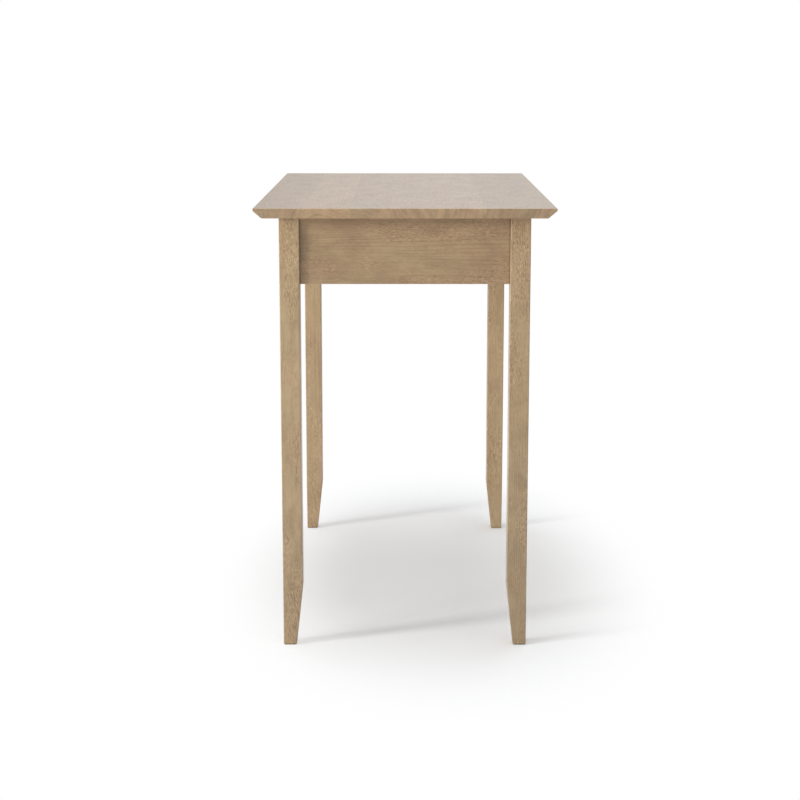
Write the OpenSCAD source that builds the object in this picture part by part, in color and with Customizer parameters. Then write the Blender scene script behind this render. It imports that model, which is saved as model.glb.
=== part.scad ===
// Shaker writing desk: a thin top with an underbevel, four slender legs tapered on their inner faces,
// plain aprons and one wide drawer on wooden runners.
// X runs along the desk, -Y is the front where the drawer pulls out, and Z = 0 is the floor.

/* [Top] */
// Length of the top, along X
top_length = 900; // [780:10:1200]
// Depth of the top, front to back
top_depth = 500; // [460:5:640]
// Thickness of the top
top_thickness = 17.5; // [16:0.5:26]
// Height of the upright nose above the underbevel
nose_height = 4; // [3:0.5:8]
// Radius that eases the upper arris of the nose and the corners of the top
nose_radius = 1; // [0.5:0.1:2]
// Width of the top's first board, at the front
board_1_width = 82; // [60:1:100]
// Width of the second board
board_2_width = 78; // [60:1:100]
// Width of the third board
board_3_width = 65; // [50:1:90]
// Width of the fourth board
board_4_width = 75; // [50:1:90]
// Width of the fifth board; the sixth takes what is left
board_5_width = 84; // [60:1:100]
// How far the top reaches past the legs at each end
end_overhang = 45; // [20:1:70]
// How far the top reaches past the legs at the front and the back
side_overhang = 39.5; // [20:0.5:60]

/* [Legs] */
// Height of the desk, floor to the top's upper face
desk_height = 762; // [700:1:800]
// Side of the square leg
leg_size = 34; // [32:1:50]
// Side of the leg where it meets the floor
foot_size = 22.6; // [18:0.2:30]
// Height over which the two inner faces taper
taper_height = 105; // [60:5:300]
// Radius that eases the long arrises of the leg
leg_arris = 1.5; // [0.5:0.1:3]
// Height of the chamfer round the sole of the leg
sole_chamfer = 1.6; // [0.5:0.1:3]

/* [Frame] */
// Height of the aprons
apron_height = 113.5; // [100:0.5:140]
// Chamfer along the free edges of aprons, rails and drawer sides
edge_ease = 1; // [0.5:0.1:2]
// Thickness of the aprons
apron_thickness = 18; // [15:0.5:22]
// How far aprons and rails lie behind the outer faces of the legs
apron_recess = 7; // [3:0.5:8]
// Thickness of the aprons' tenons
tenon_thickness = 8; // [5:0.5:10]
// Length of the tenons on the end aprons
end_tenon_length = 20; // [12:1:24]
// Wood left between the joints that meet inside a leg
joint_wall = 3; // [2:0.5:4]
// Shoulder above and below the aprons' tenons
tenon_shoulder = 10; // [6:1:20]
// Height of the rails above and below the drawer
rail_height = 18; // [15:0.5:20]
// Height of the dovetail that holds the upper rail in the leg
rail_dovetail_height = 12; // [8:0.5:14]
// Shoulder round the joints at the ends of the rails
rail_shoulder = 4; // [2:0.5:5]
// Glue gap round tenons, dovetails and tongues
glue_gap = 0.1; // [0.05:0.01:0.2]
// Space left at the bottom of a mortise
mortise_end_gap = 1; // [0.5:0.1:2]
// Length of the stub tenons on runners and kickers
stub_length = 8; // [5:0.5:12]
// Thickness of the stub tenons on runners and kickers
stub_thickness = 6; // [4:0.5:8]
// How far runners and kickers reach inside the drawer side
runner_lip = 8; // [4:0.5:20]
// Height of the guides above the runners
guide_height = 20; // [12:1:30]

/* [Drawer] */
// Space between the drawer and the back apron
drawer_rear_space = 29; // [15:1:80]
// Gap at each side of the drawer
side_gap = 1; // [0.5:0.1:2]
// Gap above the drawer
top_gap = 1.5; // [1:0.1:3]
// Gap between the drawer front and the rail below it
bottom_gap = 1; // [0.5:0.1:2]
// Running gap between the drawer sides and the runners
run_gap = 0.3; // [0.2:0.05:0.5]
// Thickness of the drawer front
front_thickness = 18; // [16:0.5:22]
// Chamfer round the face of the drawer front
front_chamfer = 1; // [0.5:0.1:2]
// Thickness of the drawer sides
drawer_side_thickness = 12; // [10:0.5:15]
// Thickness of the drawer back
drawer_back_thickness = 12; // [10:0.5:15]
// How far the drawer back stays below the sides
back_drop = 4; // [2:0.5:10]
// Wood left in front of the half-blind dovetails
dovetail_lap = 5; // [3:0.5:6]
// Number of dovetails at each corner of the drawer
dovetail_count = 3; // [2:1:4]
// Width of the pins at the narrow side
pin_width = 6; // [4:0.5:8]
// Slope of the dovetails, as rise over run
dovetail_slope = 0.15; // [0.1:0.01:0.18]
// Thickness of the drawer bottom
bottom_thickness = 6; // [4:0.5:8]
// Height of the drawer bottom above the lower edge of the sides
bottom_height = 8; // [7:0.5:9]
// Depth of the grooves that hold the drawer bottom
groove_depth = 5; // [3:0.5:6]
// Play of the drawer bottom in its grooves
groove_play = 0.2; // [0.1:0.05:0.4]
// Thickness of the drawer stops
stop_thickness = 5; // [3:0.5:6]
// Width of the drawer stops
stop_width = 30; // [20:1:40]
// Distance of the drawer stops from the legs
stop_inset = 110; // [60:5:150]

/* [Knob] */
// How far the knob stands out from the drawer front
knob_projection = 25; // [22:0.5:30]
// Radius of the knob's head
knob_radius = 15; // [12:0.5:18]
// Radius of the knob's foot against the drawer front
knob_foot_radius = 10; // [8:0.5:12]
// Radius of the knob's neck
knob_neck_radius = 6.5; // [5.5:0.5:7.5]
// Rise of the knob's head above the middle of its rim
knob_crown = 7.5; // [6:0.5:9]
// Thickness of the knob's foot
knob_foot_height = 2.5; // [1.5:0.5:4]
// Radius of the rim of the head
knob_rim_radius = 3.5; // [2.5:0.5:4]
// Depth of the screw hole in the knob
knob_hole_depth = 12; // [8:1:14]

/* [Fixings] */
// Radius of a wood screw's shank
screw_radius = 1.75; // [1.5:0.05:2.25]
// Radius of a screw's head
screw_head_radius = 3.6; // [3:0.1:4]
// Height of a screw's head
screw_head_height = 2.2; // [1.8:0.1:2.6]
// Gap between a screw and the hole it sits in
screw_gap = 0.1; // [0.05:0.05:0.3]
// How deep a screw bites into the piece that it holds
screw_bite = 11; // [8:1:12]
// Distance of the kicker and runner screws from the middle of the desk
bearer_screw_y = 120; // [80:5:140]
// Travel of the top on the kickers, for the seasons
season_slot = 3; // [1:0.5:6]
// Depth of the pocket that sinks a runner screw
runner_pocket = 10; // [6:1:14]
// Distance of the outer rail screws and buttons from the middle of the desk
fixing_x = 240; // [150:10:300]
// Width of a wooden button
button_width = 30; // [20:1:40]
// Depth of a wooden button's body
button_depth = 30; // [22:1:36]
// Thickness of a wooden button
button_thickness = 16; // [13:0.5:18]
// Thickness of a wooden button's tongue
button_tongue = 6.5; // [5:0.5:7.5]
// How far the tongue reaches into the back apron
button_reach = 6; // [4:0.5:8]
// Gap between a button's body and the back apron
button_gap = 1.5; // [0.5:0.5:3]
// Radius of the knob's machine screw
knob_screw_radius = 2; // [1.5:0.25:2.5]
// Radius of the machine screw's head
knob_screw_head = 4; // [3.5:0.25:5]
// Height of the machine screw's head
knob_screw_head_height = 2.4; // [1.8:0.1:3]
// Width of the cross recess in a screw's head
recess_width = 0.8; // [0.5:0.1:1.2]

/* [Hidden] */

round_fn = 48;
show = "#b39a7a";
inside = "#d8bf94";
steel = "#b9bcc0";
// Thickness of the thin slices that a tapered foot is drawn between
slice = 0.01;
// How far a cut runs past the face that it opens
past = 1;
// Radius left at the point of a wood screw
point_radius = 0.2;
// Reach of the cross recess, as a share of the head's radius
recess_reach = 0.6;

// Levels
under_top = desk_height - top_thickness;
apron_bottom = under_top - apron_height;
bay_bottom = apron_bottom + rail_height;
bay_top = under_top - rail_height;

// Outer faces of the legs and, inside them, the faces that carry aprons and rails
leg_x = top_length / 2 - end_overhang;
leg_y = top_depth / 2 - side_overhang;
leg_in_x = leg_x - leg_size;
leg_in_y = leg_y - leg_size;

// Faces of the aprons
apron_x = leg_x - apron_recess;
apron_in_x = apron_x - apron_thickness;
apron_y = leg_y - apron_recess;
apron_in_y = apron_y - apron_thickness;
tenon_in = (apron_thickness - tenon_thickness) / 2;

// Joints along X stop short of the end aprons' tenons
cross_joint = apron_in_x + tenon_in - joint_wall - leg_in_x;

// Top
bevel = top_thickness - nose_height;
board_widths = [board_1_width, board_2_width, board_3_width, board_4_width, board_5_width];
board_count = len(board_widths) + 1;

// Drawer
drawer_x = leg_in_x - side_gap;
drawer_in_x = drawer_x - drawer_side_thickness;
front_in_y = -apron_y + front_thickness;
lap_y = -apron_y + dovetail_lap;
drawer_end_y = apron_in_y - drawer_rear_space;
back_in_y = drawer_end_y - drawer_back_thickness;
side_bottom = bay_bottom + run_gap;
front_bottom = bay_bottom + bottom_gap;
drawer_top = bay_top - top_gap;
panel_z = side_bottom + bottom_height;
panel_top = panel_z + bottom_thickness;
back_top = drawer_top - back_drop;
knob_z = (front_bottom + drawer_top) / 2;

// Bearers: the strips that make the runners and the kickers
bearer_in_x = drawer_in_x - runner_lip;
bearer_mid_x = (bearer_in_x + apron_in_x) / 2;

// Screws
rail_screw_y = -(apron_y + leg_in_y) / 2;
button_face_y = apron_in_y - button_gap;
button_screw_y = button_face_y - button_depth / 2;
bottom_screw_y = drawer_end_y - drawer_back_thickness / 2;
slot_z = under_top - button_thickness + button_tongue;
bearer_screw_length = rail_height - screw_head_height + screw_bite;
rail_screw_length = rail_height + screw_bite;
button_screw_length = button_thickness + screw_bite;
bottom_screw_length = bottom_thickness + screw_bite;
runner_screw_length = apron_in_x - bearer_in_x - runner_pocket + screw_bite;
knob_screw_length = front_thickness + knob_hole_depth - mortise_end_gap;

// Knob: the dome that meets the rim of the head without a step
rim_r = knob_radius - knob_rim_radius;
rim_h = knob_projection - knob_crown;
dome_r = (rim_r * rim_r / (knob_crown - knob_rim_radius) + knob_rim_radius + knob_crown) / 2;
dome_h = knob_projection - dome_r;

// The outline is drawn in X and Z and reaches from y0 to y1
module along_y(y0, y1)
    translate([0, y1, 0]) rotate([90, 0, 0]) linear_extrude(height = y1 - y0) children();

// The outline is drawn in Y and Z and reaches from x0 to x1
module along_x(x0, x1)
    translate([x0, 0, 0]) rotate([90, 0, 90]) linear_extrude(height = x1 - x0) children();

module block(x0, x1, y0, y1, z0, z1)
    translate([x0, y0, z0]) cube([x1 - x0, y1 - y0, z1 - z0]);

// The right-hand piece, or its mirror image on the left
module on_side(side) {
    if (side < 0) mirror([1, 0, 0]) children();
    else children();
}

// Two corners of an outline at the level v, from ua to ub, each cut back by e
function cut_corners(ua, ub, v, e) =
    let (s = sign(ub - ua))
    e > 0 ? [[ua, v + s * e], [ua + s * e, v], [ub - s * e, v], [ub, v + s * e]] : [[ua, v], [ub, v]];

// Outline of a rectangle with its lower corners cut back by low and its upper ones by high
function cut_rectangle(u0, u1, v0, v1, low, high) =
    concat(cut_corners(u0, u1, v0, low), cut_corners(u1, u0, v1, high));

module eased_section(u0, u1, z0, z1, low = edge_ease, high = 0)
    polygon(cut_rectangle(u0, u1, z0, z1, low, high));

module eased_rectangle(w, d, r) {
    translate([r, 0]) square([w - 2 * r, d]);
    translate([0, r]) square([w, d - 2 * r]);
    for (x = [r, w - r], y = [r, d - r])
        translate([x, y]) circle(r, $fn = round_fn);
}

// The cross recess in a screw head whose face is at z = 0
module cross_recess(head_radius, head_height) {
    half = recess_reach * head_radius;
    for (turn = [0, 90]) rotate([0, 0, turn])
        block(-half, half, -recess_width / 2, recess_width / 2, -past, head_height / 2);
}

// A wood screw that points up from the face of its head, which is countersunk or flat underneath
module wood_screw(length, flat_seat = false) {
    color(steel) difference() {
        rotate_extrude($fn = round_fn) polygon(concat(
            [[0, 0], [screw_head_radius, 0]],
            flat_seat ? [[screw_head_radius, screw_head_height]] : [],
            [[screw_radius, screw_head_height], [screw_radius, length - 2 * screw_radius],
             [point_radius, length], [0, length]]
        ));
        cross_recess(screw_head_radius, screw_head_height);
    }
}

// The hole that a countersunk wood screw sits in, sunk below the face at z = 0
module screw_hole(length, sink = 0) {
    shank = screw_radius + screw_gap;
    head = screw_head_radius + screw_gap;
    rotate_extrude($fn = round_fn) polygon([
        [0, -past], [head, -past], [head, sink], [shank, sink + screw_head_height],
        [shank, sink + length + screw_gap], [0, sink + length + screw_gap],
    ]);
}

// Places of the screws that go up into the top
module at_kicker_screws(side)
    for (y = [-1, 1] * bearer_screw_y) translate([side * bearer_mid_x, y, bay_top]) children();

module at_rail_screws()
    for (i = [-1:1]) translate([i * fixing_x, rail_screw_y, bay_top]) children();

module at_button_screws(i)
    translate([(i - 2) * fixing_x, button_screw_y, under_top - button_thickness]) children();

module top_screw_holes() {
    for (side = [-1, 1]) at_kicker_screws(side)
        translate([0, 0, screw_head_height]) screw_hole(bearer_screw_length);
    at_rail_screws() screw_hole(rail_screw_length);
    for (i = [1:3]) at_button_screws(i) screw_hole(button_screw_length);
}

// Section of the top, this far to each side of its middle
module top_section(half) {
    difference() {
        polygon([
            [-half + bevel, under_top], [half - bevel, under_top], [half, under_top + bevel],
            [half, desk_height], [-half, desk_height], [-half, under_top + bevel],
        ]);
        for (side = [-1, 1]) translate([side * half, desk_height]) difference() {
            square(2 * nose_radius, center = true);
            translate([-side * nose_radius, -nose_radius]) circle(nose_radius, $fn = round_fn);
        }
    }
}

module whole_top() {
    difference() {
        intersection() {
            along_y(-top_depth / 2, top_depth / 2) top_section(top_length / 2);
            along_x(-top_length / 2, top_length / 2) top_section(top_depth / 2);
            translate([-top_length / 2, -top_depth / 2, under_top])
                linear_extrude(height = top_thickness)
                    eased_rectangle(top_length, top_depth, nose_radius);
        }
        top_screw_holes();
    }
}

// Where board i begins, counted from the front
function board_start(i) = i <= 0 ? -top_depth / 2 : board_start(i - 1) + board_widths[i - 1];

module top_board(i) {
    y0 = board_start(i - 1);
    y1 = i == board_count ? top_depth / 2 : board_start(i);
    color(show) intersection() {
        whole_top();
        block(-top_length / 2, top_length / 2, y0, y1, under_top, desk_height);
    }
}

module end_apron_tenon(gap = 0, end_gap = 0) {
    reach = leg_in_y + end_tenon_length + end_gap;
    block(apron_in_x + tenon_in - gap, apron_x - tenon_in + gap, -reach, reach,
          apron_bottom + tenon_shoulder - gap, under_top - tenon_shoulder + gap);
}

module end_apron(side) {
    color(show) on_side(side) difference() {
        union() {
            along_y(-leg_in_y, leg_in_y) eased_section(apron_in_x, apron_x, apron_bottom, under_top);
            end_apron_tenon();
        }
        runner_screw_holes();
    }
}

module back_apron_tenon(gap = 0, end_gap = 0) {
    reach = leg_in_x + cross_joint + end_gap;
    block(-reach, reach, apron_in_y + tenon_in - gap, apron_y - tenon_in + gap,
          apron_bottom + tenon_shoulder - gap, under_top - tenon_shoulder + gap);
}

module back_apron() {
    color(show) difference() {
        union() {
            along_x(-leg_in_x, leg_in_x) eased_section(apron_in_y, apron_y, apron_bottom, under_top);
            back_apron_tenon();
        }
        for (i = [1:3]) button_slot(i);
    }
}

// Tail in plan at each end of the upper rail, wider towards its end
module rail_dovetail(gap = 0, end_gap = 0) {
    spread = dovetail_slope * cross_joint;
    reach = leg_in_x + cross_joint + end_gap;
    front = -apron_y + rail_shoulder;
    back = -leg_in_y - rail_shoulder;
    translate([0, 0, under_top - rail_dovetail_height - gap])
        linear_extrude(height = rail_dovetail_height + gap)
            for (side = [-1, 1]) polygon([
                [side * (leg_in_x - past), front + spread - gap], [side * leg_in_x, front + spread - gap],
                [side * reach, front - gap], [side * reach, back + gap],
                [side * leg_in_x, back - spread + gap], [side * (leg_in_x - past), back - spread + gap],
            ]);
}

module rail_tenon(gap = 0, end_gap = 0) {
    reach = leg_in_x + cross_joint + end_gap;
    block(-reach, reach, -apron_y + rail_shoulder - gap, -leg_in_y - rail_shoulder + gap,
          apron_bottom + rail_shoulder - gap, bay_bottom - rail_shoulder + gap);
}

module front_top_rail() {
    color(show) difference() {
        union() {
            along_x(-leg_in_x, leg_in_x) eased_section(-apron_y, -leg_in_y, bay_top, under_top);
            rail_dovetail();
        }
        for (side = [-1, 1]) on_side(side) bearer_stub(bay_top, glue_gap, mortise_end_gap);
        at_rail_screws() screw_hole(rail_screw_length);
    }
}

module front_bottom_rail() {
    color(show) difference() {
        union() {
            along_x(-leg_in_x, leg_in_x)
                eased_section(-apron_y, -leg_in_y, apron_bottom, bay_bottom, high = edge_ease);
            rail_tenon();
        }
        for (side = [-1, 1]) on_side(side) bearer_stub(apron_bottom, glue_gap, mortise_end_gap);
    }
}

// The leg at the back right: its outer faces are x = leg_x and y = leg_y
module leg_slice(size, inset, z)
    translate([leg_x - size + inset, leg_y - size + inset, z])
        linear_extrude(height = slice)
            eased_rectangle(size - 2 * inset, size - 2 * inset, leg_arris);

module leg_stick() {
    translate([leg_in_x, leg_in_y, taper_height - slice])
        linear_extrude(height = under_top - taper_height + slice)
            eased_rectangle(leg_size, leg_size, leg_arris);
    hull() {
        leg_slice(leg_size, 0, taper_height - slice);
        leg_slice(foot_size, 0, sole_chamfer);
        leg_slice(foot_size, sole_chamfer, 0);
    }
}

module back_leg(side) {
    color(show) on_side(side) difference() {
        leg_stick();
        end_apron_tenon(glue_gap, mortise_end_gap);
        back_apron_tenon(glue_gap, mortise_end_gap);
    }
}

module front_leg(side) {
    color(show) on_side(side) difference() {
        mirror([0, 1, 0]) leg_stick();
        end_apron_tenon(glue_gap, mortise_end_gap);
        rail_tenon(glue_gap, mortise_end_gap);
        rail_dovetail(glue_gap, 0);
    }
}

// Stub tenon at the front end of a runner or kicker whose lower face is at z
module bearer_stub(z, gap = 0, end_gap = 0) {
    mid = z + rail_height / 2;
    block(bearer_in_x + rail_shoulder - gap, leg_in_x - rail_shoulder + gap,
          -leg_in_y - stub_length - end_gap, -leg_in_y + past,
          mid - stub_thickness / 2 - gap, mid + stub_thickness / 2 + gap);
}

// The strip from rail to back apron, notched round the back leg
module bearer(z) {
    difference() {
        block(bearer_in_x, apron_in_x, -leg_in_y, apron_in_y, z, z + rail_height);
        block(leg_in_x, leg_x, leg_in_y, leg_y, z - past, z + rail_height + past);
    }
    bearer_stub(z);
}

module at_runner_screws()
    for (y = [-1, 1] * bearer_screw_y)
        translate([bearer_in_x, y, apron_bottom + rail_height / 2]) rotate([0, 90, 0]) children();

module runner_screw_holes()
    at_runner_screws() screw_hole(runner_screw_length, runner_pocket);

module runner(side) {
    color(inside) on_side(side) difference() {
        bearer(apron_bottom);
        runner_screw_holes();
    }
}

// A slotted hole, which lets the top swell and shrink across its boards
module season_slotted(r, z0, z1) {
    block(-r, r, -season_slot / 2, season_slot / 2, z0, z1);
    for (y = [-1, 1] * season_slot / 2)
        translate([0, y, z0]) cylinder(h = z1 - z0, r = r, $fn = round_fn);
}

module kicker(side)
    color(inside) on_side(side) difference() {
        bearer(bay_top);
        at_kicker_screws(1) {
            season_slotted(screw_radius + screw_gap, -past, rail_height + past);
            season_slotted(screw_head_radius + screw_gap, -past, 2 * screw_head_height);
        }
    }

module guide(side)
    color(inside) on_side(side)
        block(leg_in_x, apron_in_x, -leg_in_y, leg_in_y, bay_bottom, bay_bottom + guide_height);

module drawer_stop(side)
    color(inside) on_side(side)
        block(leg_in_x - stop_inset - stop_width, leg_in_x - stop_inset,
              front_in_y + run_gap, -leg_in_y, bay_bottom, bay_bottom + stop_thickness);

module button_slot(i) {
    x = (i - 2) * fixing_x;
    half = button_width / 2 + mortise_end_gap;
    block(x - half, x + half, apron_in_y - past, apron_in_y + button_reach + mortise_end_gap,
          slot_z - button_tongue - 2 * mortise_end_gap, slot_z);
}

module top_button(i) {
    x = (i - 2) * fixing_x;
    half = button_width / 2;
    bottom = under_top - button_thickness;
    color(inside) difference() {
        union() {
            block(x - half, x + half, button_face_y - button_depth, button_face_y, bottom, under_top);
            block(x - half, x + half, button_face_y - past, apron_in_y + button_reach,
                  slot_z - button_tongue, slot_z);
        }
        at_button_screws(i) screw_hole(button_screw_length);
    }
}

module kicker_screws()
    for (side = [-1, 1]) at_kicker_screws(side)
        translate([0, 0, screw_head_height]) wood_screw(bearer_screw_length, true);

module rail_screws()
    at_rail_screws() wood_screw(rail_screw_length);

module button_screws()
    for (i = [1:3]) at_button_screws(i) wood_screw(button_screw_length);

module runner_screws()
    for (side = [-1, 1]) on_side(side) at_runner_screws()
        translate([0, 0, runner_pocket]) wood_screw(runner_screw_length);

// Outlines in Y and Z of the tails between the levels z0 and z1. They widen from y_root to y_end,
// and run on a little past both.
module tails(y_root, y_end, z0, z1) {
    out = sign(y_end - y_root);
    pitch = (z1 - z0) / dovetail_count;
    wide = (pitch - pin_width) / 2 + dovetail_slope * past;
    narrow = wide - dovetail_slope * (abs(y_end - y_root) + 2 * past);
    for (i = [0:dovetail_count - 1]) {
        mid = z0 + (i + 0.5) * pitch;
        polygon([
            [y_root - out * past, mid - narrow], [y_end + out * past, mid - wide],
            [y_end + out * past, mid + wide], [y_root - out * past, mid + narrow],
        ]);
    }
}

module front_tails() tails(front_in_y, lap_y, side_bottom, drawer_top);
module back_tails() tails(back_in_y, drawer_end_y, panel_top, back_top);

module rectangle(y0, y1, z0, z1) translate([y0, z0]) square([y1 - y0, z1 - z0]);

// What the side loses between its tails, at the front and at the back
module front_pins() difference() {
    rectangle(lap_y - past, front_in_y, side_bottom - past, drawer_top + past);
    front_tails();
}

module back_pins() difference() {
    rectangle(back_in_y, drawer_end_y + past, panel_top, back_top);
    back_tails();
}

module drawer_side(side) {
    color(inside) on_side(side) difference() {
        along_y(lap_y, drawer_end_y)
            eased_section(drawer_in_x, drawer_x, side_bottom, drawer_top, 0, edge_ease);
        along_x(drawer_in_x - past, drawer_x + past) {
            front_pins();
            back_pins();
        }
        block(drawer_in_x - past, drawer_in_x + groove_depth, lap_y - past, drawer_end_y + past,
              panel_z, panel_top + groove_play);
    }
}

// Outline of the drawer front, from u0 to u1, with its face's two corners chamfered
function front_outline(u0, u1) = cut_rectangle(u0, u1, -apron_y, front_in_y, front_chamfer, 0);

module drawer_front() {
    color(show) difference() {
        intersection() {
            translate([0, 0, front_bottom]) linear_extrude(height = drawer_top - front_bottom)
                polygon(front_outline(-drawer_x, drawer_x));
            along_x(-drawer_x, drawer_x)
                polygon([for (p = front_outline(front_bottom, drawer_top)) [p[1], p[0]]]);
        }
        for (side = [-1, 1]) on_side(side) along_x(drawer_in_x, drawer_x + past) intersection() {
            rectangle(lap_y, front_in_y + past, side_bottom - past, drawer_top + past);
            front_tails();
        }
        block(-drawer_in_x - groove_depth, drawer_in_x + groove_depth,
              front_in_y - groove_depth, front_in_y + past, panel_z, panel_top + groove_play);
        translate([0, front_in_y + past, knob_z]) rotate([90, 0, 0])
            cylinder(h = front_thickness + 2 * past, r = knob_screw_radius + screw_gap, $fn = round_fn);
    }
}

module drawer_back() {
    color(inside) difference() {
        block(-drawer_x, drawer_x, back_in_y, drawer_end_y, panel_top, back_top);
        for (side = [-1, 1]) on_side(side) along_x(drawer_in_x, drawer_x + past) back_tails();
        at_bottom_screws() screw_hole(bottom_screw_length);
    }
}

module at_bottom_screws()
    for (i = [-1:1]) translate([i * fixing_x, bottom_screw_y, panel_z]) children();

module drawer_bottom() {
    reach = drawer_in_x + groove_depth - groove_play;
    color(inside) difference() {
        block(-reach, reach, front_in_y - groove_depth + groove_play, drawer_end_y, panel_z, panel_top);
        at_bottom_screws() screw_hole(bottom_screw_length);
    }
}

module drawer_bottom_screws()
    at_bottom_screws() wood_screw(bottom_screw_length);

// Half outline of the turned knob: X is the radius and Y the distance from the drawer front
module knob_outline() {
    foot_cove = knob_foot_radius - knob_neck_radius;
    head_cove = rim_r - knob_neck_radius;
    square([knob_foot_radius, knob_foot_height]);
    square([knob_neck_radius, rim_h]);
    difference() {
        square([knob_foot_radius, knob_foot_height + foot_cove]);
        translate([knob_foot_radius, knob_foot_height + foot_cove]) circle(foot_cove, $fn = round_fn);
    }
    difference() {
        translate([0, rim_h - knob_rim_radius - head_cove]) square([rim_r, 2 * knob_rim_radius + head_cove]);
        translate([rim_r, rim_h - knob_rim_radius - head_cove]) circle(head_cove, $fn = round_fn);
    }
    translate([rim_r, rim_h]) circle(knob_rim_radius, $fn = round_fn);
    intersection() {
        translate([0, dome_h]) circle(dome_r, $fn = 2 * round_fn);
        polygon([[0, rim_h], [rim_r, rim_h], [2 * rim_r, 2 * rim_h - dome_h], [0, 2 * knob_projection]]);
    }
}

module drawer_knob() {
    color(show) translate([0, -apron_y, knob_z]) rotate([90, 0, 0]) difference() {
        rotate_extrude($fn = 2 * round_fn) knob_outline();
        translate([0, 0, -past])
            cylinder(h = knob_hole_depth + past, r = knob_screw_radius + screw_gap, $fn = round_fn);
    }
}

module knob_screw() {
    color(steel) translate([0, front_in_y + knob_screw_head_height, knob_z]) rotate([90, 0, 0]) difference() {
        rotate_extrude($fn = round_fn) polygon([
            [0, 0], [knob_screw_head, 0], [knob_screw_head, knob_screw_head_height],
            [knob_screw_radius, knob_screw_head_height],
            [knob_screw_radius, knob_screw_head_height + knob_screw_length],
            [0, knob_screw_head_height + knob_screw_length],
        ]);
        cross_recess(knob_screw_head, knob_screw_head_height);
    }
}

top_board(1);  // top_board_1
top_board(2);  // top_board_2
top_board(3);  // top_board_3
top_board(4);  // top_board_4
top_board(5);  // top_board_5
top_board(6);  // top_board_6
front_leg(-1);  // front_left_leg
front_leg(1);  // front_right_leg
back_leg(-1);  // back_left_leg
back_leg(1);  // back_right_leg
end_apron(-1);  // left_apron
end_apron(1);  // right_apron
back_apron();
front_top_rail();
front_bottom_rail();
runner(-1);  // left_runner
runner(1);  // right_runner
kicker(-1);  // left_kicker
kicker(1);  // right_kicker
guide(-1);  // left_guide
guide(1);  // right_guide
drawer_stop(-1);  // left_drawer_stop
drawer_stop(1);  // right_drawer_stop
top_button(1);  // top_button_1
top_button(2);  // top_button_2
top_button(3);  // top_button_3
kicker_screws();
rail_screws();
button_screws();
runner_screws();
drawer_front();
drawer_side(-1);  // drawer_left_side
drawer_side(1);  // drawer_right_side
drawer_back();
drawer_bottom();
drawer_knob();
knob_screw();
drawer_bottom_screws();
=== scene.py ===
"""Shaker writing desk: the finishes, floor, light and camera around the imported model."""

import math
from typing import NamedTuple

import bmesh
import bpy
from bpy.props import FloatProperty, FloatVectorProperty, PointerProperty
from mathutils import Euler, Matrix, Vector


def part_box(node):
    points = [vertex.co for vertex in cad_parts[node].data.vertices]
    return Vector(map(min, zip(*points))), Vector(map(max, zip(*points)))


bl_info = {
    "name": "Shaker Writing Desk",
    "version": (1, 0, 0),
    "blender": (4, 5, 0),
    "location": "View3D > Sidebar > Desk",
    "description": "Finishes, floor, light and camera for a shaker writing desk",
    "category": "Object",
}

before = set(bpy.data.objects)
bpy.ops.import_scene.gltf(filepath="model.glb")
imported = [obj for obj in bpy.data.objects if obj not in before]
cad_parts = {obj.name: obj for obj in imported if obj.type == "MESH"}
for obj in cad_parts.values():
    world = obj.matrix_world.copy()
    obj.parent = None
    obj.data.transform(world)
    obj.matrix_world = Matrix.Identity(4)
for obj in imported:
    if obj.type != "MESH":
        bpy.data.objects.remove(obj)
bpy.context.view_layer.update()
MM = 1000


def linear(code):
    """Turns an sRGB hex colour into the linear values that Blender works in."""
    channels = [int(code[i:i + 2], 16) / 255 for i in (1, 3, 5)]
    return [c / 12.92 if c <= 0.04045 else ((c + 0.055) / 1.055) ** 2.4 for c in channels]


def opaque(colour):
    """The same colour with the fourth value that node sockets take."""
    return [*colour, 1]


def colour_property(name, description, code):
    """A colour that a user can change, from its sRGB hex value."""
    return FloatVectorProperty(
        name=name, description=description, subtype="COLOR", size=3, min=0, max=1, default=linear(code)
    )


def share_property(name, description, default):
    """A share from 0 to 1 that a user can change."""
    return FloatProperty(
        name=name, description=description, subtype="FACTOR", min=0, max=1, default=default
    )


class StainedMaple(bpy.types.PropertyGroup):
    """The show wood: hard maple, planed, stained mid brown and lacquered to a satin."""

    base: colour_property("Stain", "Colour of the stained wood between its marks", "#baa17a")
    warm: colour_property("Warm stain", "Colour that the stain drifts to in places", "#bc9b76")
    deep: colour_property("Deep stain", "Colour where the wood drank more stain", "#886b4c")
    pale: colour_property("Pale fleck", "Colour of the flecks that took little stain", "#d3bb91")
    ring_spacing: FloatProperty(
        name="Ring spacing", description="Distance between growth rings, in millimetres",
        default=3.2, min=0.5, max=20,
    )
    roughness: share_property("Roughness", "Roughness of the wood under the lacquer", 0.47)
    lacquer: share_property("Lacquer", "How much of the surface the lacquer covers", 1)
    lacquer_roughness: share_property("Lacquer roughness", "Roughness of the satin lacquer", 0.22)
    # Depth of the painted shade in inner corners, where less light reaches
    corner_shade_depth: share_property("Painted corner shade", "How dark the stain is where it gathered in a corner", 0.9)


class ClearMaple(bpy.types.PropertyGroup):
    """The inside wood: hard maple, planed, with a thin clear coat."""

    base: colour_property("Wood", "Colour of the bare wood between its marks", "#d9bf96")
    warm: colour_property("Warm wood", "Colour that the bare wood drifts to in places", "#dbbb95")
    deep: colour_property("Ring", "Colour of the late wood in each growth ring", "#b8966a")
    pale: colour_property("Fleck", "Colour of the pale flecks", "#ead8b6")
    roughness: share_property("Roughness", "Roughness of the wood under its thin coat", 0.55)
    lacquer: share_property("Coat", "How much of the surface the thin coat covers", 0.3)
    lacquer_roughness: share_property("Coat roughness", "Roughness of the thin coat", 0.35)
    # Depth of the painted shade in inner corners, where less light reaches
    corner_shade_depth: share_property("Painted corner shade", "How dark the coat is where it gathered in a corner", 0.3)


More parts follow.
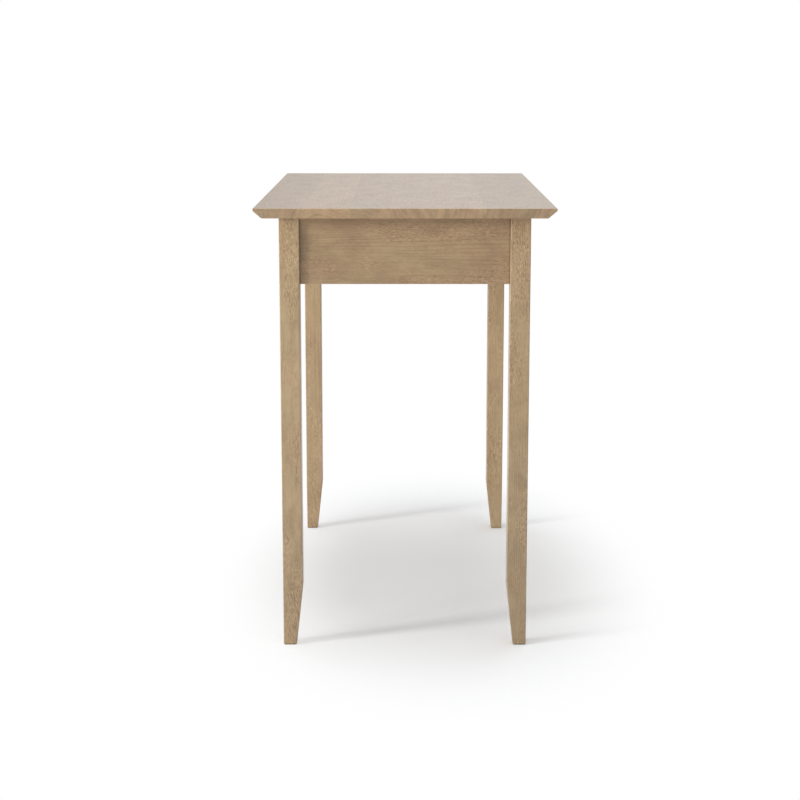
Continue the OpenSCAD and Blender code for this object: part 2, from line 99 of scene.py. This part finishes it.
class ZincSteel(bpy.types.PropertyGroup):
    """The screws: steel, cold headed and zinc plated."""

    base: colour_property("Zinc", "Colour of the plating", "#c9ccd0")
    dull: colour_property("Dull zinc", "Colour of the plating's duller patches", "#aeb2b8")
    roughness: share_property("Roughness", "Roughness of the plating", 0.34)


class Studio(bpy.types.PropertyGroup):
    """Floor, lamps and camera."""

    floor: colour_property("Floor", "Colour of the floor in the light that it throws back", "#f4f4f4")
    floor_lift: FloatVectorProperty(
        name="Floor lift", description="How pale the floor looks to the camera, by colour channel",
        size=3, min=0, max=2, default=(1.085, 1.11, 1.134),
    )
    key: FloatProperty(
        name="Key lamp", description="Power of the low lamp at the front", unit="POWER", default=130, min=0
    )
    side: FloatProperty(
        name="Side lamp", description="Power of the wide lamp beside the key lamp", unit="POWER",
        default=50, min=0,
    )
    overhead: FloatProperty(
        name="Overhead lamp", description="Power of the soft lamp above", unit="POWER", default=68, min=0
    )
    sky: FloatProperty(
        name="Room light", description="Strength of the even light from all round", default=0.345, min=0
    )
    reflected_sky: FloatProperty(
        name="Room in a gloss", description="How bright the room is in a reflection", default=0.65, min=0
    )
    reflected_front: FloatProperty(
        name="Front in a gloss", description="How bright the front of the room is in a reflection",
        default=0.5, min=0,
    )
    lens: FloatProperty(
        name="Lens", description="Focal length of the camera, in millimetres", unit="CAMERA",
        default=80.87, min=10, max=300,
    )
    eye: FloatVectorProperty(
        name="Eye", description="Place of the camera", unit="LENGTH", size=3,
        default=(3.3987, -0.00295, 1.00794),
    )
    pitch: FloatProperty(
        name="Pitch", description="How far the camera looks down", unit="ROTATION",
        default=math.radians(10.8487),
    )
    yaw: FloatProperty(
        name="Yaw", description="How far the camera turns away from the desk's length", unit="ROTATION",
        default=math.radians(0.1007),
    )


def add_node(tree, kind, inputs=(), **settings):
    """Adds a node; inputs maps its sockets to values or to the sockets that feed them."""
    node = tree.nodes.new(kind)
    for name, value in settings.items():
        setattr(node, name, value)
    for key, value in dict(inputs).items():
        if isinstance(value, bpy.types.NodeSocket):
            tree.links.new(value, node.inputs[key])
        else:
            node.inputs[key].default_value = value
    return node


def bare_material(name):
    """A new material without any nodes, and its node tree."""
    material = bpy.data.materials.new(name)
    material.use_nodes = True
    material.node_tree.nodes.clear()
    return material, material.node_tree


class Mark(NamedTuple):
    """A kind of mark in the wood, made from noise that is drawn out along the grain."""

    length: float  # along the grain, in millimetres
    width: float  # across it
    low: float  # the noise at which the mark begins to show
    high: float  # the noise at which it shows in full
    detail: float = 2
    roughness: float = 0.5
    distortion: float = 0


MARKS = {
    # The wood drifts between a yellower and a pinker brown
    "drift": Mark(150, 44, 0.36, 0.64, detail=3),
    # Clouds of stain, broken up into ever smaller ones
    "cloud": Mark(64, 34, 0.22, 0.78, detail=5, roughness=0.68, distortion=0.3),
    # Fibres are about 0.1 mm wide; these streaks are drawn 2.2 mm wide, so that they show
    "streak": Mark(60, 2.2, 0.3, 0.7, detail=4, roughness=0.7),
    # Small pores that drank stain, a few tenths of a millimetre wide and drawn 1.6 mm wide
    "speck": Mark(7, 1.6, 0.42, 0.64, detail=3, roughness=0.75),
    # Rays cut open: pale flecks a few millimetres long, gathered in patches
    "fleck": Mark(6.5, 2.6, 0.58, 0.7),
    "patch": Mark(150, 40, 0.46, 0.6),
    # Growth rings are clear in some places and faint in others
    "clear": Mark(240, 34, 0.4, 0.62),
    # Pores cut across, which show where the wood is cut across
    "pore": Mark(30, 1.1, 0.42, 0.68, roughness=0.7),
}
# The trunk wanders this far, and over these lengths along and across, in millimetres
WANDER = 34
WANDER_LENGTH, WANDER_WIDTH = 420, 70
# A higher power keeps the dark late wood to a thinner line at the end of each year
LATE_WOOD_POWER = 3
# Some years are darker than their neighbours, in bands about this wide in millimetres
DARK_YEARS = 8
DARK_YEARS_LOW, DARK_YEARS_HIGH = 0.35, 0.65
# How squarely a face cuts across the grain where end grain begins to show, and where it shows in full
END_GRAIN_FROM, END_GRAIN_TO = 0.4, 0.7
# How much of the specks is left in end grain
CUT_SPECKS = 0.3

# How far each mark takes the wood from its base colour towards the deep one; below 0 it gets paler.
# The first four are the stain's own, and grow with it.
DEPTH = {
    "cloud": 0.55,
    "between clouds": -0.43,
    "speck": 0.22,
    "speck in a patch": 0.54,
    "everywhere": 0.2,
    "streak": 0.25,
    "late wood": 0.32,
    "dark years": 0.35,
    "pore": 0.16,
    "end grain": -0.14,
    "patch": -0.16,
}
# How far the wood drifts to its warm colour and back, and how strong the pale flecks are
DRIFT = 0.35
FLECKS = 0.5


def all_marks(tree, place):
    """Each kind of mark at a place in the wood, from 0 for none to 1 for full."""
    shown = {}
    for name, mark in MARKS.items():
        drawn_out = add_node(
            tree, "ShaderNodeVectorMath",
            {0: place, 1: (1 / mark.length, 1 / mark.width, 1 / mark.width)}, operation="MULTIPLY",
        )
        noise = add_node(
            tree, "ShaderNodeTexNoise",
            {"Vector": drawn_out.outputs[0], "Scale": 1, "Detail": mark.detail,
             "Roughness": mark.roughness, "Distortion": mark.distortion},
        )
        shown[name] = add_node(
            tree, "ShaderNodeMapRange",
            {"Value": noise.outputs["Fac"], "From Min": mark.low, "From Max": mark.high},
            interpolation_type="SMOOTHSTEP",
        ).outputs[0]
    return shown


def end_grain(tree, normal):
    """1 where the wood is cut across its grain, and 0 where the face runs along it."""
    end = add_node(tree, "ShaderNodeVectorMath", {0: normal, 1: (1, 0, 0)}, operation="DOT_PRODUCT")
    end = add_node(tree, "ShaderNodeMath", {0: end.outputs["Value"]}, operation="ABSOLUTE")
    return add_node(
        tree, "ShaderNodeMapRange",
        {"Value": end.outputs[0], "From Min": END_GRAIN_FROM, "From Max": END_GRAIN_TO},
    ).outputs[0]


def growth_rings(tree, place):
    """The late wood of each year and the years that are darker than others, both from 0 to 1."""
    # The trunk wanders, so that rings meet a flat face in long pointed arches
    slow = add_node(
        tree, "ShaderNodeVectorMath",
        {0: place, 1: (1 / WANDER_LENGTH, 1 / WANDER_WIDTH, 1 / WANDER_WIDTH)}, operation="MULTIPLY",
    )
    wander = add_node(tree, "ShaderNodeTexNoise", {"Vector": slow.outputs[0], "Scale": 1, "Detail": 1})
    grown = add_node(
        tree, "ShaderNodeVectorMath", {0: wander.outputs["Color"], 1: (0, WANDER, WANDER), 2: place},
        operation="MULTIPLY_ADD",
    )
    across = add_node(
        tree, "ShaderNodeVectorMath", {0: grown.outputs[0], 1: (0, 1, 1)}, operation="MULTIPLY"
    )
    radius = add_node(tree, "ShaderNodeVectorMath", {0: across.outputs[0]}, operation="LENGTH")
    rings = add_node(
        tree, "ShaderNodeMath",
        {0: radius.outputs["Value"], 1: bpy.context.scene.stained_maple.ring_spacing},
        operation="DIVIDE",
    )
    year = add_node(tree, "ShaderNodeMath", {0: rings.outputs[0]}, operation="FRACT")
    # Late wood darkens slowly through the year and ends in a sharp line
    late = add_node(tree, "ShaderNodeMath", {0: year.outputs[0], 1: LATE_WOOD_POWER}, operation="POWER")
    years = add_node(
        tree, "ShaderNodeTexNoise",
        {"W": radius.outputs["Value"], "Scale": 1 / DARK_YEARS, "Detail": 2}, noise_dimensions="1D",
    )
    dark_years = add_node(
        tree, "ShaderNodeMapRange",
        {"Value": years.outputs["Fac"], "From Min": DARK_YEARS_LOW, "From Max": DARK_YEARS_HIGH},
    )
    return late.outputs[0], dark_years.outputs[0]


def stain_depth(tree, mark, end, late, dark_years, stain):
    """How deep the colour is, from 0 for the base colour to 1 for the deep one."""
    depth = add_node(
        tree, "ShaderNodeMath", {0: mark["cloud"], 1: DEPTH["cloud"], 2: DEPTH["between clouds"]},
        operation="MULTIPLY_ADD",
    )
    # Specks are stronger in the patches, and faint where the wood is cut across
    strong = add_node(
        tree, "ShaderNodeMath", {0: mark["patch"], 1: DEPTH["speck in a patch"], 2: DEPTH["speck"]},
        operation="MULTIPLY_ADD",
    )
    calm = add_node(tree, "ShaderNodeMapRange", {"Value": end, "To Min": 1, "To Max": CUT_SPECKS})
    specks = add_node(tree, "ShaderNodeMath", {0: mark["speck"], 1: calm.outputs[0]}, operation="MULTIPLY")
    depth = add_node(
        tree, "ShaderNodeMath", {0: specks.outputs[0], 1: strong.outputs[0], 2: depth.outputs[0]},
        operation="MULTIPLY_ADD",
    )
    depth = add_node(
        tree, "ShaderNodeMath", {0: depth.outputs[0], 1: stain, 2: DEPTH["everywhere"]},
        operation="MULTIPLY_ADD",
    )
    late = add_node(tree, "ShaderNodeMath", {0: late, 1: mark["clear"]}, operation="MULTIPLY")
    # The bands of darker years and the pores show only where the wood is cut across
    bands = add_node(tree, "ShaderNodeMath", {0: dark_years, 1: end}, operation="MULTIPLY")
    pores = add_node(tree, "ShaderNodeMath", {0: mark["pore"], 1: end}, operation="MULTIPLY")
    for share, weight in (
        (mark["streak"], DEPTH["streak"]),
        (late.outputs[0], DEPTH["late wood"]),
        (bands.outputs[0], DEPTH["dark years"]),
        (pores.outputs[0], DEPTH["pore"]),
        (end, DEPTH["end grain"]),
        (mark["patch"], DEPTH["patch"]),
    ):
        depth = add_node(
            tree, "ShaderNodeMath", {0: share, 1: weight, 2: depth.outputs[0]}, operation="MULTIPLY_ADD"
        )
    return depth.outputs[0]


def maple_figure():
    """The figure of hard maple as a node group. Place is in millimetres, with the grain along X and
    the pith of the tree on the X axis, and Normal is the face's own in the same frame."""
    found = bpy.data.node_groups.get("Maple figure")
    if found:
        return found
    tree = bpy.data.node_groups.new("Maple figure", "ShaderNodeTree")
    for name, kind in (
        ("Place", "NodeSocketVector"), ("Normal", "NodeSocketVector"), ("Tone", "NodeSocketFloat"),
        ("Stain", "NodeSocketFloat"), ("Warmth", "NodeSocketFloat"), ("Base", "NodeSocketColor"),
        ("Warm", "NodeSocketColor"), ("Deep", "NodeSocketColor"), ("Pale", "NodeSocketColor"),
    ):
        tree.interface.new_socket(name, in_out="INPUT", socket_type=kind)
    for name, kind in (("Colour", "NodeSocketColor"), ("Fibre", "NodeSocketFloat")):
        tree.interface.new_socket(name, in_out="OUTPUT", socket_type=kind)
    given = add_node(tree, "NodeGroupInput").outputs
    mark = all_marks(tree, given["Place"])
    end = end_grain(tree, given["Normal"])
    late, dark_years = growth_rings(tree, given["Place"])
    depth = stain_depth(tree, mark, end, late, dark_years, given["Stain"])
    drift = add_node(tree, "ShaderNodeMapRange", {"Value": mark["drift"], "To Min": -DRIFT, "To Max": DRIFT})
    drift = add_node(
        tree, "ShaderNodeMath", {0: drift.outputs[0], 1: given["Stain"], 2: given["Warmth"]},
        operation="MULTIPLY_ADD",
    )
    wood = add_node(
        tree, "ShaderNodeMix", {"Factor": drift.outputs[0], "A": given["Base"], "B": given["Warm"]},
        data_type="RGBA",
    )
    stained = add_node(
        tree, "ShaderNodeMix", {"Factor": depth, "A": wood.outputs["Result"], "B": given["Deep"]},
        data_type="RGBA",
    )
    flecks = add_node(tree, "ShaderNodeMath", {0: mark["fleck"], 1: mark["patch"]}, operation="MULTIPLY")
    flecks = add_node(tree, "ShaderNodeMath", {0: flecks.outputs[0], 1: FLECKS}, operation="MULTIPLY")
    flecked = add_node(
        tree, "ShaderNodeMix",
        {"Factor": flecks.outputs[0], "A": stained.outputs["Result"], "B": given["Pale"]},
        data_type="RGBA",
    )
    toned = add_node(
        tree, "ShaderNodeVectorMath", {0: flecked.outputs["Result"], "Scale": given["Tone"]},
        operation="SCALE",
    )
    add_node(tree, "NodeGroupOutput", {"Colour": toned.outputs[0], "Fibre": mark["streak"]})
    return tree


# How far out of an inner corner the painted shade reaches, in metres, and how many rays feel for it
CORNER_REACH = 0.004
CORNER_RAYS = 16
# How open a place is, from a face that another piece covers to one that gets painted corner shade
COVERED, OPEN = 0.15, 0.35


def painted_corner_shade(tree, colour, corner_shade_depth):
    """Darkens the inner corners with painted shade, a dark line where nearby faces shut out the light. A
    face that another piece covers has none, so that it keeps its colour when the drawer uncovers it."""
    free = add_node(
        tree, "ShaderNodeAmbientOcclusion", {"Distance": CORNER_REACH}, samples=CORNER_RAYS
    ).outputs["AO"]
    # Painted shade: the less open a corner is, the darker its colour
    gathered = add_node(tree, "ShaderNodeMapRange", {"Value": free, "To Min": corner_shade_depth, "To Max": 0})
    reached = add_node(
        tree, "ShaderNodeMapRange", {"Value": free, "From Min": COVERED, "From Max": OPEN},
        interpolation_type="SMOOTHSTEP",
    )
    dark = add_node(
        tree, "ShaderNodeMath", {0: gathered.outputs[0], 1: reached.outputs[0]}, operation="MULTIPLY"
    )
    light = add_node(tree, "ShaderNodeMath", {0: 1, 1: dark.outputs[0]}, operation="SUBTRACT")
    return add_node(
        tree, "ShaderNodeVectorMath", {0: colour, "Scale": light.outputs[0]}, operation="SCALE"
    ).outputs[0]


# Rotation that turns each grain direction to the pattern's own X
GRAIN_TURN = {
    "X": (0, 0, 0),
    "Y": (0, 0, -math.pi / 2),
    "Z": (0, math.pi / 2, 0),
}
GRAIN_AXIS = {"X": (1, 0, 0), "Y": (0, 1, 0), "Z": (0, 0, 1)}
# The streaks' roughness lies this far above the mean, and that of the wood between them as far below
SHEEN_SPREAD = 0.05
# Fibres stand this far proud under the lacquer, in metres, and this share of that relief shows
FIBRE_HEIGHT = 0.00003
FIBRE_RELIEF = 0.4
WOOD_IOR = 1.5
LACQUER_IOR = 1.5


def maple(name, timber, finish, stain, warmth, grain, pith, tones_and_shading, start):
    """Planed hard maple for one piece: soft clouds and fine streaks along the grain, with a satin sheen
    that turns pale at a low angle. Timber names the wood and its finish, and the material with it. Stain
    is how strong the clouds and specks are, and warmth how far the wood lies towards its warm colour.
    The pith is that far, in millimetres, from the middle of the piece, the tones are how pale the wood
    is at the low and at the high end of its grain, and the start is how far along the trunk, in
    millimetres, the middle of the piece lay."""
    low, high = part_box(name)
    turn = Euler(GRAIN_TURN[grain])
    shift = -(turn.to_matrix() @ ((low + high) / 2 * MM + Vector(pith)))
    shift.x += start
    material, tree = bare_material(f"{timber}, {name}")
    coordinates = add_node(tree, "ShaderNodeTexCoord").outputs
    place = add_node(
        tree, "ShaderNodeMapping",
        {"Vector": coordinates["Object"], "Scale": (MM, MM, MM), "Rotation": turn, "Location": shift},
    )
    facing = add_node(
        tree, "ShaderNodeMapping", {"Vector": coordinates["Normal"], "Rotation": turn}, vector_type="VECTOR"
    )
    along = add_node(
        tree, "ShaderNodeVectorMath", {0: coordinates["Object"], 1: GRAIN_AXIS[grain]},
        operation="DOT_PRODUCT",
    )
    first, last = (corner.dot(Vector(GRAIN_AXIS[grain])) for corner in (low, high))
    # Tone changes along the grain: the wood's own tone, and on the right-hand legs painted shade towards the
    # foot
    tone = add_node(
        tree, "ShaderNodeMapRange",
        {"Value": along.outputs["Value"], "From Min": first, "From Max": last, "To Min": tones_and_shading[0],
         "To Max": tones_and_shading[1]},
    )
    figure = add_node(
        tree, "ShaderNodeGroup",
        {"Place": place.outputs[0], "Normal": facing.outputs[0], "Tone": tone.outputs[0], "Stain": stain,
         "Warmth": warmth, "Base": opaque(finish.base), "Warm": opaque(finish.warm),
         "Deep": opaque(finish.deep), "Pale": opaque(finish.pale)},
        node_tree=maple_figure(),
    )
    sheen = add_node(
        tree, "ShaderNodeMapRange",
        {"Value": figure.outputs["Fibre"], "To Min": finish.roughness - SHEEN_SPREAD,
         "To Max": finish.roughness + SHEEN_SPREAD},
    )
    relief = add_node(
        tree, "ShaderNodeBump",
        {"Height": figure.outputs["Fibre"], "Strength": FIBRE_RELIEF, "Distance": FIBRE_HEIGHT},
    )
    # The base colour carries painted shade in its inner corners
    surface = add_node(
        tree, "ShaderNodeBsdfPrincipled",
        {"Base Color": painted_corner_shade(tree, figure.outputs["Colour"], finish.corner_shade_depth),
         "Roughness": sheen.outputs[0], "Normal": relief.outputs[0], "IOR": WOOD_IOR,
         "Coat Weight": finish.lacquer, "Coat Roughness": finish.lacquer_roughness,
         "Coat IOR": LACQUER_IOR},
    )
    add_node(tree, "ShaderNodeOutputMaterial", {"Surface": surface.outputs[0]})
    return material


def dress(name, material):
    """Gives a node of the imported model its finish."""
    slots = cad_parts[name].data.materials
    if not len(slots):
        slots.append(material)
    for i in range(len(slots)):
        slots[i] = material


# The crystals of the plating are far finer; these patches are drawn 1.5 mm across, so that they show
ZINC_PATCH = 1.5
ZINC_SPREAD = 0.1


def zinc_steel():
    """Zinc plated steel, as screws come: a soft grey metal with faint cloudy patches."""
    found = bpy.data.materials.get("zinc plated steel")
    if found:
        return found
    finish = bpy.context.scene.zinc_steel
    material, tree = bare_material("zinc plated steel")
    coordinates = add_node(tree, "ShaderNodeTexCoord").outputs
    patches = add_node(
        tree, "ShaderNodeTexNoise", {"Vector": coordinates["Object"], "Scale": MM / ZINC_PATCH, "Detail": 3}
    )
    rough = add_node(
        tree, "ShaderNodeMapRange",
        {"Value": patches.outputs["Fac"], "To Min": finish.roughness - ZINC_SPREAD,
         "To Max": finish.roughness + ZINC_SPREAD},
    )
    colour = add_node(
        tree, "ShaderNodeMix",
        {"Factor": patches.outputs["Fac"], "A": opaque(finish.base), "B": opaque(finish.dull)},
        data_type="RGBA",
    )
    surface = add_node(
        tree, "ShaderNodeBsdfPrincipled",
        {"Base Color": colour.outputs["Result"], "Roughness": rough.outputs[0], "Metallic": 1},
    )
    add_node(tree, "ShaderNodeOutputMaterial", {"Surface": surface.outputs[0]})
    return material


def dress_shown(name, grain, pith, tones_and_shading=(1, 1), start=0, stain=1, warmth=0.8):
    """A piece of the show wood."""
    finish = bpy.context.scene.stained_maple
    timber = "stained and lacquered maple"
    dress(name, maple(name, timber, finish, stain, warmth, grain, pith, tones_and_shading, start))


def dress_inside(name, grain, pith, start=0, stain=0.25, warmth=0.5):
    """A piece of the inside wood."""
    finish = bpy.context.scene.clear_maple
    timber = "clear coated maple"
    dress(name, maple(name, timber, finish, stain, warmth, grain, pith, (1, 1), start))


# Each board of the top, from the front: its pith, its tone and its start
PLANKS = (
    ((0, -150, -20), 1.01, 130),
    ((0, 6, -52), 1.17, 870),
    ((0, -10, -64), 1.05, 1610),
    ((0, 140, 50), 1.08, 2390),
    ((0, -130, 40), 1.1, 3120),
    ((0, 170, -35), 0.97, 3970),
)
TOP_STAIN = 1.15


class DESK_OT_top(bpy.types.Operator):
    """Dresses the six boards of the top, each from its own plank"""

    bl_idname = "desk.top"
    bl_label = "Top boards"

    def execute(self, context):
        for i, (pith, tone, start) in enumerate(PLANKS, 1):
            dress_shown(f"top_board_{i}", "X", pith, (tone, tone), start, TOP_STAIN)
        return {"FINISHED"}


class DESK_OT_legs(bpy.types.Operator):
    """Dresses the four tapered legs"""

    bl_idname = "desk.legs"
    bl_label = "Legs"

    def execute(self, context):
        # The legs are cut from yellower wood than the rest
        # The right-hand legs grow darker towards the foot: painted shade for the weaker light low down, over
        # the wood's own tone
        dress_shown("front_left_leg", "Z", (62, 55, 0), (1.12, 1.14), 400, stain=0.7, warmth=0.1)
        dress_shown("front_right_leg", "Z", (-70, 48, 0), (0.96, 1.17), 674, warmth=0.1)
        dress_shown("back_left_leg", "Z", (58, -64, 0), (1.1, 1.13), 2200, stain=0.8, warmth=0.1)
        dress_shown("back_right_leg", "Z", (-60, -66, 0), (0.9, 1.22), 3825, warmth=0.1)
        return {"FINISHED"}


class DESK_OT_aprons(bpy.types.Operator):
    """Dresses the end aprons and the back apron"""

    bl_idname = "desk.aprons"
    bl_label = "Aprons"

    def execute(self, context):
        dress_shown("right_apron", "Y", (-100, 0, -40), (0.99, 1.03), 19464)
        dress_shown("left_apron", "Y", (110, 0, -10), start=1500)
        dress_shown("back_apron", "X", (0, -130, 20), start=2500)
        return {"FINISHED"}


class DESK_OT_rails(bpy.types.Operator):
    """Dresses the rails above and below the drawer"""

    bl_idname = "desk.rails"
    bl_label = "Front rails"

    def execute(self, context):
        dress_shown("front_top_rail", "X", (0, 60, 70), start=700)
        dress_shown("front_bottom_rail", "X", (0, 55, -75), start=1700)
        return {"FINISHED"}


class DESK_OT_bearers(bpy.types.Operator):
    """Dresses what carries the drawer and holds the top: runners, kickers, guides, stops, buttons"""

    bl_idname = "desk.bearers"
    bl_label = "Runners, kickers and buttons"

    def execute(self, context):
        # Each piece comes from further along the trunk than the one before it, clear of its length
        start = 0
        for side in ("left", "right"):
            for part in ("runner", "kicker", "guide"):
                start += 620
                dress_inside(f"{side}_{part}", "Y", (50, 0, 75), start)
            start += 310
            dress_inside(f"{side}_drawer_stop", "X", (0, 40, 60), start)
        for i in (1, 2, 3):
            start += 170
            dress_inside(f"top_button_{i}", "Y", (45, 0, 70), start)
        return {"FINISHED"}


class DESK_OT_drawer(bpy.types.Operator):
    """Dresses the drawer box: the front in show wood, the rest in clear maple"""

    bl_idname = "desk.drawer"
    bl_label = "Drawer"

    def execute(self, context):
        dress_shown("drawer_front", "X", (0, 120, -18), start=4700)
        dress_inside("drawer_left_side", "Y", (90, 0, 20), 300)
        dress_inside("drawer_right_side", "Y", (-95, 0, -15), 1250)
        dress_inside("drawer_back", "X", (0, -100, 12), 2150)
        dress_inside("drawer_bottom", "X", (0, 40, -160), 3050)
        return {"FINISHED"}


class DESK_OT_knob(bpy.types.Operator):
    """Dresses the turned knob, whose grain runs along the lathe's axis"""

    bl_idname = "desk.knob"
    bl_label = "Drawer knob"

    def execute(self, context):
        dress_shown("drawer_knob", "Y", (35, 0, 30), start=5600)
        return {"FINISHED"}


class DESK_OT_screws(bpy.types.Operator):
    """Dresses the screws"""

    bl_idname = "desk.screws"
    bl_label = "Screws"

    def execute(self, context):
        for kind in ("kicker", "rail", "button", "runner", "drawer_bottom"):
            dress(f"{kind}_screws", zinc_steel())
        dress("knob_screw", zinc_steel())
        return {"FINISHED"}


# The floor reaches this far each way, in metres, and has this many squares along a side
FLOOR_REACH = 40
FLOOR_SQUARES = 24
# Middle of the pool of shadow on the floor and how far it reaches before plain white, in metres
FADE_CENTRE = (-0.05, 0.065)
FADE_REACH = (0.95, 0.45)
# Share of that reach at which the floor starts to run out to white
FADE_START = 0.4


def floor_paint(studio):
    """Matt white floor paint: even, without gloss, and running out to plain white round the desk."""
    material, tree = bare_material("matt white floor")
    coordinates = add_node(tree, "ShaderNodeTexCoord").outputs
    # Distance from a point under the desk, as a share of the pool of shadow's reach
    spread = add_node(
        tree, "ShaderNodeMapping",
        {"Vector": coordinates["Object"], "Location": (-FADE_CENTRE[0], -FADE_CENTRE[1], 0)},
    )
    spread = add_node(
        tree, "ShaderNodeVectorMath",
        {0: spread.outputs[0], 1: (1 / FADE_REACH[0], 1 / FADE_REACH[1], 0)}, operation="MULTIPLY",
    )
    spread = add_node(tree, "ShaderNodeVectorMath", {0: spread.outputs[0]}, operation="LENGTH")
    far = add_node(
        tree, "ShaderNodeMapRange",
        {"Value": spread.outputs["Value"], "From Min": FADE_START, "From Max": 1},
        interpolation_type="SMOOTHSTEP",
    )
    # The lift and the plain white are for what the camera sees straight, and throw no light
    direct = add_node(tree, "ShaderNodeLightPath").outputs["Is Camera Ray"]
    colour = add_node(
        tree, "ShaderNodeMix",
        {"Factor": direct, "A": opaque(studio.floor), "B": opaque(studio.floor_lift)},
        data_type="RGBA", clamp_factor=True,
    )
    paint = add_node(tree, "ShaderNodeBsdfDiffuse", {"Color": colour.outputs["Result"]})
    white = add_node(tree, "ShaderNodeEmission", {"Color": opaque((1, 1, 1)), "Strength": 1})
    share = add_node(tree, "ShaderNodeMath", {0: far.outputs[0], 1: direct}, operation="MULTIPLY")
    mixed = add_node(
        tree, "ShaderNodeMixShader", {0: share.outputs[0], 1: paint.outputs[0], 2: white.outputs[0]}
    )
    add_node(tree, "ShaderNodeOutputMaterial", {"Surface": mixed.outputs[0]})
    return material


def lay_floor(studio):
    """A wide level floor under the desk."""
    mesh = bpy.data.meshes.new("floor")
    shape = bmesh.new()
    bmesh.ops.create_grid(shape, x_segments=FLOOR_SQUARES, y_segments=FLOOR_SQUARES, size=FLOOR_REACH)
    shape.to_mesh(mesh)
    shape.free()
    mesh.materials.append(floor_paint(studio))
    floor = bpy.data.objects.new("floor", mesh)
    bpy.context.scene.collection.objects.link(floor)


# Width and height of each lamp in metres, its azimuth and elevation in degrees and its distance in metres
LAMPS = {
    "key": ((0.75, 0.6), 25, 11, 5.3),
    "side": ((1.8, 1.3), 35, 17, 5.3),
    "overhead": ((3.4, 3.4), 0, 89, 3.2),
}
# The place in the desk that every lamp looks at
LAMP_AIM = (0, 0, 0.45)


def soft_lamp(name, power, size, azimuth, elevation, distance):
    """A softbox that looks at the desk. Azimuth 0 is the front and 90 the right-hand end."""
    lamp = bpy.data.lights.new(name, "AREA")
    lamp.energy = power
    lamp.shape = "RECTANGLE"
    lamp.size, lamp.size_y = size
    turn, lift = math.radians(azimuth), math.radians(elevation)
    away = Vector((math.sin(turn) * math.cos(lift), -math.cos(turn) * math.cos(lift), math.sin(lift)))
    box = bpy.data.objects.new(name, lamp)
    box.location = Vector(LAMP_AIM) + away * distance
    box.rotation_euler = away.to_track_quat("Z", "Y").to_euler()
    bpy.context.scene.collection.objects.link(box)


# A gloss shows the room darker towards the front. It changes between these two directions, given by
# how much of them points to the back.
DARK_FRONT, BRIGHT_BACK = -0.14, 0.02


def white_room(studio):
    """Even light from all round, white to the camera and softer in a gloss."""
    world = bpy.data.worlds.new("white room")
    world.use_nodes = True
    tree = world.node_tree
    tree.nodes.clear()
    path = add_node(tree, "ShaderNodeLightPath").outputs
    outlook = add_node(tree, "ShaderNodeTexCoord").outputs["Generated"]
    outlook = add_node(tree, "ShaderNodeSeparateXYZ", {"Vector": outlook}).outputs["Y"]
    mirrored = add_node(
        tree, "ShaderNodeMapRange",
        {"Value": outlook, "From Min": DARK_FRONT, "From Max": BRIGHT_BACK,
         "To Min": studio.reflected_front, "To Max": studio.reflected_sky},
        interpolation_type="SMOOTHSTEP",
    )
    room = add_node(
        tree, "ShaderNodeMapRange",
        {"Value": path["Is Glossy Ray"], "To Min": studio.sky, "To Max": mirrored.outputs[0]},
    )
    strength = add_node(
        tree, "ShaderNodeMapRange",
        {"Value": path["Is Camera Ray"], "To Min": room.outputs[0], "To Max": 1},
    )
    glow = add_node(
        tree, "ShaderNodeBackground", {"Color": opaque((1, 1, 1)), "Strength": strength.outputs[0]}
    )
    add_node(tree, "ShaderNodeOutputWorld", {"Surface": glow.outputs[0]})
    bpy.context.scene.world = world


# Width of the camera's sensor in millimetres, and how far it sees in metres
SENSOR = 36
FAR_CLIP = 200


def add_camera(studio):
    """The camera at the near end of the desk, a little above it."""
    scene = bpy.context.scene
    camera = bpy.data.objects.new("camera", bpy.data.cameras.new("camera"))
    camera.data.sensor_width = SENSOR
    camera.data.lens = studio.lens
    camera.data.clip_end = FAR_CLIP
    camera.location = studio.eye
    camera.rotation_euler = (math.pi / 2 - studio.pitch, 0, math.pi / 2 + studio.yaw)
    scene.collection.objects.link(camera)
    scene.camera = camera


class DESK_OT_stage(bpy.types.Operator):
    """Makes the floor, the lamps, the room light and the camera"""

    bl_idname = "desk.stage"
    bl_label = "Floor, light and camera"

    def execute(self, context):
        studio = context.scene.studio
        lay_floor(studio)
        for name, place in LAMPS.items():
            soft_lamp(f"{name} lamp", getattr(studio, name), *place)
        white_room(studio)
        add_camera(studio)
        context.scene.view_settings.view_transform = "Standard"
        return {"FINISHED"}


class DESK_PT_panel(bpy.types.Panel):
    """Lists the desk's finishes, light and pieces"""

    bl_idname = "DESK_PT_panel"
    bl_label = "Shaker Writing Desk"
    bl_space_type = "VIEW_3D"
    bl_region_type = "UI"
    bl_category = "Desk"

    def draw(self, context):
        layout = self.layout
        for name, settings in SETTINGS.items():
            box = layout.box()
            group = getattr(context.scene, name)
            for prop in settings.__annotations__:
                box.prop(group, prop)
        for operator in OPERATORS:
            layout.operator(operator.bl_idname)


SETTINGS = {
    "stained_maple": StainedMaple,
    "clear_maple": ClearMaple,
    "zinc_steel": ZincSteel,
    "studio": Studio,
}
OPERATORS = (
    DESK_OT_stage,
    DESK_OT_top,
    DESK_OT_legs,
    DESK_OT_aprons,
    DESK_OT_rails,
    DESK_OT_bearers,
    DESK_OT_drawer,
    DESK_OT_knob,
    DESK_OT_screws,
)
CLASSES = (*SETTINGS.values(), *OPERATORS, DESK_PT_panel)


def register():
    for kind in CLASSES:
        bpy.utils.register_class(kind)
    for name, settings in SETTINGS.items():
        setattr(bpy.types.Scene, name, PointerProperty(type=settings))


def unregister():
    for name in SETTINGS:
        delattr(bpy.types.Scene, name)
    for kind in reversed(CLASSES):
        bpy.utils.unregister_class(kind)


def main():
    register()
    for operator in OPERATORS:
        category, name = operator.bl_idname.split(".")
        getattr(getattr(bpy.ops, category), name)()


if __name__ == "__main__":
    main()
